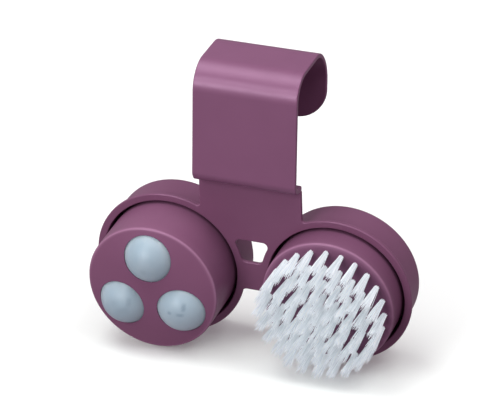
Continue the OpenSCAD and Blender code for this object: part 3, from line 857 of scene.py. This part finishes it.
def thirdAngles():
    # Angles of the rim's points in one third, from edge to edge
    return np.radians(np.linspace(-thirdTurn / 2, thirdTurn / 2, headSizes["arcSteps"] + 1))


def windowAxes(tilt):
    # Through a window, out from the head's axis, and sideways
    return (np.array([math.sin(tilt), 0, math.cos(tilt)]), np.array([math.cos(tilt), 0, -math.sin(tilt)]),
            np.array([0.0, 1.0, 0.0]))


def facePatch(centre, sphere, edgeR, windowAngle, axes):
    # A third of a crowned face round one window. Its border is the arc of the rim and the two spokes
    # to the axis. Each row lies on the sphere, a share of the way from the window's edge to the border,
    # measured as an angle at the sphere's centre.
    h = headSizes
    theta = thirdAngles()
    spoke = np.linspace(edgeR, 0, h["spokeSteps"] + 1)[1:]
    radius = np.concatenate([np.full(len(theta), edgeR), spoke, spoke[::-1][1:]])
    turn = np.concatenate([theta, np.full(len(spoke), theta[-1]), np.full(len(spoke) - 1, theta[0])])
    height = np.sqrt(sphere ** 2 - radius ** 2)
    way = np.column_stack([radius[:, None] * unit(turn), height]) / sphere
    ahead, outward, sideways = axes
    far = np.arccos(np.clip(way @ ahead, -1, 1))
    around = np.arctan2(way @ sideways, way @ outward)
    share = np.linspace(0, 1, h["faceRows"] + 1)[:, None]
    angle = windowAngle + (far - windowAngle) * share
    return spherePoints(angle, around, sphere, centre, axes), around


def spherePoints(angle, around, sphere, centre, axes):
    # Points on spheres about the head's axis, by their angle from a window's own axis and round it
    ahead, outward, sideways = axes
    side = np.cos(around)[..., None] * outward + np.sin(around)[..., None] * sideways
    points = np.cos(angle)[..., None] * ahead + np.sin(angle)[..., None] * side
    return np.array([0.0, 0.0, centre]) + np.asarray(sphere)[..., None] * points


def windowAngleAt(sphere, ballDistance, clear):
    # Angle at the crown's centre between the window's axis and its wall, by the law of cosines
    return math.acos((sphere ** 2 + ballDistance ** 2 - clear ** 2) / (2 * sphere * ballDistance))


def turnAbout(points, degrees):
    # Turns points about the head's axis
    c, s = math.cos(math.radians(degrees)), math.sin(math.radians(degrees))
    return points @ np.array([[c, s, 0], [-s, c, 0], [0, 0, 1]])


def makeMassageDrum():
    # Three patches for the face and three for its underside, three window walls, and the rim,
    # side and inside wall turned round the axis on the same border points
    h, b = headSizes, ballSizes
    rim, face = h["massageRim"], h["massageFace"]
    centre = crownCentre(rim)
    axes = windowAxes(math.asin(b["ring"] / crownR))
    distance, clear = crownR - (b["radius"] - b["rise"]), b["radius"] + b["gap"]
    profile = rimProfile(rim, face)
    lipAngle = b["lip"] / crownR
    mouthAngle = windowAngleAt(crownR, distance, clear) + lipAngle
    underAngle = windowAngleAt(crownR - face, distance, clear)
    top, around = facePatch(centre, crownR, profile[0, 0], mouthAngle, axes)
    under, aroundUnder = facePatch(centre, crownR - face, profile[-1, 0], underAngle, axes)
    quarter = np.radians(np.linspace(0, 90, b["lipSteps"] + 1))
    straight = np.linspace(b["lip"], face, b["lipSteps"] + 1)[1:]
    depth = np.concatenate([b["lip"] * (1 - np.cos(quarter)), straight])
    widen = np.concatenate([lipAngle * (1 - np.sin(quarter)), np.zeros_like(straight)])
    level = crownR - depth
    wallAngle = np.array([windowAngleAt(r, distance, clear) for r in level]) + widen
    turnDifference = (aroundUnder - around + np.pi) % (2 * np.pi) - np.pi
    wallAround = around + turnDifference * (depth / face)[:, None]
    wall = spherePoints(wallAngle[:, None], wallAround, level[:, None], centre, axes)
    turns = [b["phase"] + thirdTurn * i for i in range(3)]
    parts = [sheet(turnAbout(patch, turn)) for turn in turns for patch in (top, under, wall)]
    angles = np.concatenate([thirdAngles()[:-1] + math.radians(turn) for turn in turns])
    parts.append(sheet(turned(profile, (0, 0), angles)))
    return welded("massageDrum", carried(parts, leftCup))


def makeBrushDrum():
    # The crowned face from its middle to its edge, then the rim and the inside, turned round the axis
    h = headSizes
    rim, face = h["brushRim"], h["brushFace"]
    profile = rimProfile(rim, face)
    out = np.linspace(0, profile[0, 0], h["faceSteps"])
    top = np.column_stack([out, crownHeight(rim, out)])
    inward = np.linspace(profile[-1, 0], 0, h["undersideSteps"])
    under = np.column_stack([inward, crownHeight(rim, inward, face)])
    full = np.concatenate([top[:-1], profile, under[1:]])
    return welded("brushDrum", carried([sheet(turned(full, (0, 0), fullTurn(3 * h["arcSteps"])))], rightCup))


def placesOn(piece, centre):
    # Where each vertex lies from the centre, in millimetres: across, up and out
    points = np.empty(len(piece.data.vertices) * 3)
    piece.data.vertices.foreach_get("co", points)
    points = (points.reshape(-1, 3) - centre) / mm
    return points @ axisAcross, points @ axisUp, points @ axisOut


def paintRimHighlight(drum, cup, rim):
    # A painted highlight along the round rim: a soft hill of pale tone across it, highest halfway round it
    h = headSizes
    across, above, height = placesOn(drum, cup)
    radius = np.hypot(across, above)
    filletR, filletZ = rimCircle(rim)
    away = np.degrees(np.arctan2(height - filletZ, radius - filletR)) - h["rimHighlightAngle"]
    paintedHighlight = h["rimHighlight"] * np.exp(-(away / h["rimHighlightSpread"]) ** 2) * (radius > filletR - h["rimFillet"] / 2)
    mark(drum.data, "edge", paintedHighlight)
    return drum


def paintShadeAmongTufts(drum, cup, rim):
    # Painted shade: the face is darker among the tufts, which shade it, and fades to its own tone at the rim
    # by a smooth step
    h = headSizes
    across, above, height = placesOn(drum, cup)
    step = 1 / (1 + np.exp((np.hypot(across, above) - h["shadeReach"]) / h["shadeFade"]))
    mark(drum.data, "deep", h["shade"] * step * (height > rim))


massageDrum = paintRimHighlight(makeMassageDrum(), leftCup, headSizes["massageRim"])
brushDrum = paintRimHighlight(makeBrushDrum(), rightCup, headSizes["brushRim"])
paintShadeAmongTufts(brushDrum, rightCup, headSizes["brushRim"])
dress(massageDrum, headPlastic, "massage_head", "head_plastic", "massage_drum")
dress(brushDrum, brushShadedPlastic, "brush_head", "head_plastic", "brush_drum")
print("drums made")


# Soft spots on each ball's front: places across and up it, reach in millimetres, strength; a negative
# strength makes a lighter spot
ballMarks = {
    "top": [(0.2, -2.4, 1.5, 1.1, 0.22), (3.5, 4.3, 4.0, 3.0, -0.16)],
    "left": [(4.6, 3.4, 1.1, 1.9, 0.34), (2.4, -0.6, 2.4, 1.6, 0.22), (-0.2, 5.2, 2.0, 1.8, -0.22)],
    "right": [(-2.4, 1.5, 0.9, 0.8, 0.6), (3.9, 4.5, 0.9, 1.7, 0.58), (2.5, 1.2, 1.7, 0.8, 0.55),
              (-0.6, 4.4, 2.2, 1.6, -0.22), (6.6, 4.2, 1.2, 1.6, -0.22)],
}


def makeBall(name, joint, marks):
    # A profile from one axle's end over the ball to the other's, turned round the ball's own axis.
    # A weld line stands a hair above the ball at its middle. Each mark is a soft hill of the
    # attribute that the finish reads, on the half that faces out.
    b = ballSizes
    meet = math.degrees(math.asin(b["axle"] / b["radius"]))
    angle = np.radians(np.linspace(90 - meet, -90 + meet, b["profileSteps"] + 1))
    radius = b["radius"] + b["seam"] * np.exp(-(np.degrees(angle) / b["seamWidth"]) ** 2)
    end = b["radius"] + b["axleReach"]
    sphere = np.column_stack([radius * np.cos(angle), radius * np.sin(angle)])
    bevel = b["axleEdge"]
    tip = np.array([[0.0, end], [b["axle"] - bevel, end], [b["axle"], end - bevel]])
    profile = np.concatenate([tip, sphere, tip[::-1] * [1, -1]])
    points = turned(profile, (0, 0), fullTurn(b["turnSteps"]))
    axis = np.array(joint["axis"])
    side = np.cross(axis, axisOut)
    side /= np.linalg.norm(side)
    front = np.cross(side, axis)
    place = np.array(joint["pos_m"]) + points @ np.stack([side, front, axis]) * mm
    ball = welded(name, [sheet(place)])
    across, above, out = placesOn(ball, np.array(joint["pos_m"]))
    ballSpots = np.zeros(len(across))
    for a, u, wide, high, strength in marks:
        ballSpots += strength * np.exp(-((across - a) / wide) ** 4 - ((above - u) / high) ** 4)
    mark(ball.data, "ballSpots", ballSpots * (out > 0))
    return ball


for where in ("top", "left", "right"):
    ball = makeBall("ball" + where.capitalize(), joints["ball_" + where + "_roll"], ballMarks[where])
    dress(ball, ballPlastic, "ball_" + where, "ball_plastic", "massage_ball_" + where)
print("balls made")


# The brush: tufts of bent filaments that flare from their holes

tuftSizes = {
    "rings": 4,
    "perRing": 6,             # each ring has so many tufts more than the last
    "pitch": 6.52,
    "phase": 90.0,            # one tuft of each ring stands at the top
    "rootRadius": 1.3,
    "tipRadius": 2.6,
    "fray": 0.1,              # how far tips stray from their place in the bundle
    "clumps": 6,              # groups of filaments round a tuft's middle that stray together
    "clumpFray": 0.34,
    "lean": 0.12,             # how far a whole tuft leans
    "length": 17.0,
    "hole": 3.5,              # depth of the filaments below the face
    "perTuft": 56,
    "filament": 0.15,         # radius
    "jitter": 0.05,           # share of the hole by which a filament misses its place
    "flareCurve": 1.15,       # power of the height by which a filament leaves the middle
    "sway": 0.3,              # sideways bend of a filament
    "swayWave": 0.85,         # share of a half wave that the bend runs through
    "shortest": 0.82,         # share of the length that the shortest reaches
    "shortSpread": (1.2, 3.0),          # beta distribution of the lengths between
    "tipThin": 0.55,          # share of the radius at the rounded tip
    "sides": 4,
    "rows": 6,
    "seed": 11,
}


def makeTufts(ring, seed):
    # Each filament starts at its own place in the hole, on a sunflower spiral, and runs to the same
    # place in the wider tip, swaying by a half sine. Its rings are small polygons square to the axis.
    t = tuftSizes
    random = np.random.default_rng(seed)
    count = max(1, t["perRing"] * ring)
    root = ring * t["pitch"] * unit(np.radians(t["phase"]) + fullTurn(count))
    base = crownHeight(headSizes["brushRim"], ring * t["pitch"])
    number = np.arange(t["perTuft"])
    spiral = np.sqrt((number + 0.5) / t["perTuft"])
    golden = number * math.pi * (3 - math.sqrt(5))
    inTuft = spiral[:, None] * unit(golden)
    inTuft = inTuft[None] + random.normal(0, t["jitter"], (count, t["perTuft"], 2))
    start = root[:, None] + inTuft * (t["rootRadius"] - t["filament"])
    spin = random.uniform(0, 2 * np.pi, (count, t["perTuft"]))
    swing = random.normal(0, t["sway"], (count, t["perTuft"]))
    sway = swing[..., None] * unit(spin)
    flare = inTuft * (t["tipRadius"] - t["rootRadius"]) + random.normal(0, t["fray"], inTuft.shape)
    clump = (golden % (2 * np.pi) / (2 * np.pi) * t["clumps"]).astype(int)
    flare += random.normal(0, t["clumpFray"], (count, t["clumps"], 2))[:, clump]
    lean = random.normal(0, t["lean"], (count, 1, 2))
    reach = t["length"] * (1 - (1 - t["shortest"]) * random.beta(*t["shortSpread"], (count, t["perTuft"])))
    share = np.linspace(0, 1, t["rows"])
    height = -t["hole"] + (reach[..., None] + t["hole"]) * share
    rise = np.clip(height / t["length"], 0, None)[..., None]
    centreLine = start[:, :, None] + (flare + lean)[:, :, None] * rise ** t["flareCurve"]
    centreLine = centreLine + sway[:, :, None] * np.sin(np.pi * t["swayWave"] * rise)
    twist = random.uniform(0, np.pi, (count, t["perTuft"], 1, 1))
    radius = np.where(share < 1, t["filament"], t["filament"] * t["tipThin"])[:, None, None]
    flat = centreLine[..., None, :] + radius * unit(fullTurn(t["sides"]) + twist)
    z = np.broadcast_to((base + height)[..., None, None], (*flat.shape[:-1], 1))
    points = np.concatenate([flat, z], -1).reshape(-1, t["rows"], t["sides"], 3)
    corners, step = np.arange(t["sides"]), t["rows"] * t["sides"]
    ends = np.array([corners[::-1], step - t["sides"] + corners])
    faces = np.concatenate([sheet(points[0])[1], ends])
    faces = faces + (np.arange(len(points)) * step)[:, None, None]
    name = "tuftRing" + str(ring) if ring else "tuftMiddle"
    tone = np.repeat(random.uniform(0, 1, len(points)), step)
    tufts = [(points.reshape(-1, 3), faces.reshape(-1, 4))]
    return welded(name, carried(tufts, rightCup), closed=False, tone=tone)


for ring in range(tuftSizes["rings"] + 1):
    node = "tuft_ring_" + str(ring) if ring else "tuft_middle"
    tufts = makeTufts(ring, tuftSizes["seed"] + ring)
    dress(tufts, bristleNylon, "brush_head", "bristle_nylon", node)
print("tufts made")


# Nodes whose shape stays: they take the finishes
nodeFinish = {
    "strap_screws": screwSteel, "peg_screws": screwSteel, "carrier_screws": screwSteel,
    "massage_base_screws": screwSteel, "brush_base_screws": screwSteel,
    "left_peg": yokeShadedPlastic, "right_peg": yokeShadedPlastic,
    "left_grip_ring": ringRubber, "right_grip_ring": ringRubber,
    "ball_carrier": innerPlastic, "massage_base": headPlastic, "brush_base": headPlastic,
}
for name, material in nodeFinish.items():
    paint(frame["nodes"][name].data, material)


# Floor, light and camera

stageSizes = {
    "half": 3.0,              # metres from the middle to each side
    "floorTone": (0.865, 0.918, 0.882),
    "floorDrift": 0.01,       # share by which the tone changes over the floor
    "floorScale": 6.0,
    "floorRoughness": 0.8,
    "floorSpecular": 0.2,
    "floorGlow": 0.12,        # light that comes through the floor
    "floorLamp": (0.0, 0.95, 0.9),
    "floorLampSize": (0.8, 0.4),
    "floorLampPower": 3.3,
    "floorLampSpread": 90.0,  # degrees, so that it misses the part
    "skyStrength": 0.32,
    "skyTone": (1.0, 0.80, 0.92),       # rosy, as light that has met the part before
    "middle": (0.0, 0.0, 0.07),
}
# Softboxes: direction round the part and elevation in degrees, distance, width and height in metres,
# watts, and spread in degrees
lamps = {
    "topLeftLamp": (-90, 68, 1.1, 0.6, 0.6, 2.8, 180),
    "topFrontLeftLamp": (-45, 68, 1.1, 0.6, 0.6, 3.0, 180),
    "topFrontLamp": (0, 68, 1.1, 0.6, 0.6, 1.8, 180),
    "topRightLamp": (75, 62, 1.1, 0.5, 0.5, 3.9, 180),
    "lowStrip": (-20, 13, 1.3, 0.7, 0.15, 0.57, 60),
    "middleStrip": (-20, 20, 1.3, 0.7, 0.15, 0.2, 60),
    "highStrip": (-20, 34, 1.3, 0.7, 0.15, 0.42, 60),
    "rearLamp": (172, 9, 1.3, 0.7, 0.3, 0.45, 90),
}


def makeFloor():
    # A flat square under the part, in four smaller ones
    half = stageSizes["half"]
    x, y = np.meshgrid([-half, 0, half], [-half, 0, half])
    floor = welded("floor", [sheet(np.stack([x, y, np.zeros_like(x)], -1), ring=False)], closed=False)
    material, tree, shader, place = nodeMaterial("paleFloor")
    tone = stageSizes["floorTone"]
    shade = tuple(c * (1 - stageSizes["floorDrift"]) for c in tone)
    drift = noise(tree, place, stageSizes["floorScale"])
    tree.links.new(ramp(tree, drift, [(noiseLow, shade), (noiseHigh, tone)]), shader.inputs["Base Color"])
    fill(shader, {
        "Roughness": stageSizes["floorRoughness"],
        "Specular IOR Level": stageSizes["floorSpecular"],
        "Emission Color": (1.0, 1.0, 1.0, 1.0),
        "Emission Strength": stageSizes["floorGlow"]})
    paint(floor.data, material)
    floor.visible_glossy = False      # its white would grey the dark edges, so the grey sky lights them
    floor.visible_diffuse = False


def direction(azimuth, elevation):
    # Unit vector to a place round the part: 0 is its front and 90 its right
    a, e = math.radians(azimuth), math.radians(elevation)
    return Vector((math.sin(a) * math.cos(e), -math.cos(a) * math.cos(e), math.sin(e)))


def areaLamp(name, place, width, height, power, spreadAngle):
    # A rectangular light that looks straight down and that no camera sees
    light = bpy.data.lights.new(name, "AREA")
    light.shape = "RECTANGLE"
    light.size, light.size_y = width, height
    light.energy = power
    light.spread = math.radians(spreadAngle)
    lamp = bpy.data.objects.new(name, light)
    lamp.location = place
    lamp.visible_camera = False
    bpy.context.scene.collection.objects.link(lamp)
    return lamp


def softbox(name, azimuth, elevation, distance, width, height, power, spreadAngle):
    # An area light that looks at the part
    way = direction(azimuth, elevation)
    place = Vector(stageSizes["middle"]) + distance * way
    lamp = areaLamp(name, place, width, height, power, spreadAngle)
    lamp.rotation_mode = "QUATERNION"
    lamp.rotation_quaternion = (-way).to_track_quat("-Z", "Y")
    lamp.visible_glossy = abs(azimuth) <= 90     # a lamp behind the part puts no glare on its top


cameraSizes = {
    "azimuth": 19.92,         # degrees round the part
    "elevation": 24.35,
    "roll": 0.79,
    "distance": 1.2860,
    "target": (0.0032508, -0.0105469, 0.076155),
    "lens": 216.0,
    "sensor": 36.0,
    "near": 0.05,
    "far": 20.0,
}


def makeCamera():
    # Back from the target along the azimuth and elevation, then turned by the roll
    c = cameraSizes
    back, roll = direction(c["azimuth"], c["elevation"]), math.radians(c["roll"])
    right = (-back).cross(Vector((0, 0, 1))).normalized()
    up = right.cross(-back)
    across = right * math.cos(roll) + up * math.sin(roll)
    above = up * math.cos(roll) - right * math.sin(roll)
    place = Vector(c["target"]) + back * c["distance"]
    camera = bpy.data.cameras.new("camera")
    camera.lens, camera.sensor_width = c["lens"], c["sensor"]
    camera.clip_start, camera.clip_end = c["near"], c["far"]
    holder = bpy.data.objects.new("camera", camera)
    turn = Matrix((across, above, back)).transposed()
    holder.matrix_world = Matrix.Translation(place) @ turn.to_4x4()
    bpy.context.scene.collection.objects.link(holder)
    bpy.context.scene.camera = holder


makeFloor()
for name, values in lamps.items():
    softbox(name, *values)
areaLamp("floorLamp", stageSizes["floorLamp"], *stageSizes["floorLampSize"], stageSizes["floorLampPower"],
         stageSizes["floorLampSpread"])      # over the floor behind the part
world = bpy.data.worlds.new("paleSky")
world.use_nodes = True
fill(world.node_tree.nodes["Background"], {
    "Color": (*stageSizes["skyTone"], 1.0),
    "Strength": stageSizes["skyStrength"]})
bpy.context.scene.world = world
bpy.context.scene.view_settings.view_transform = "Standard"
makeCamera()
print("stage set")
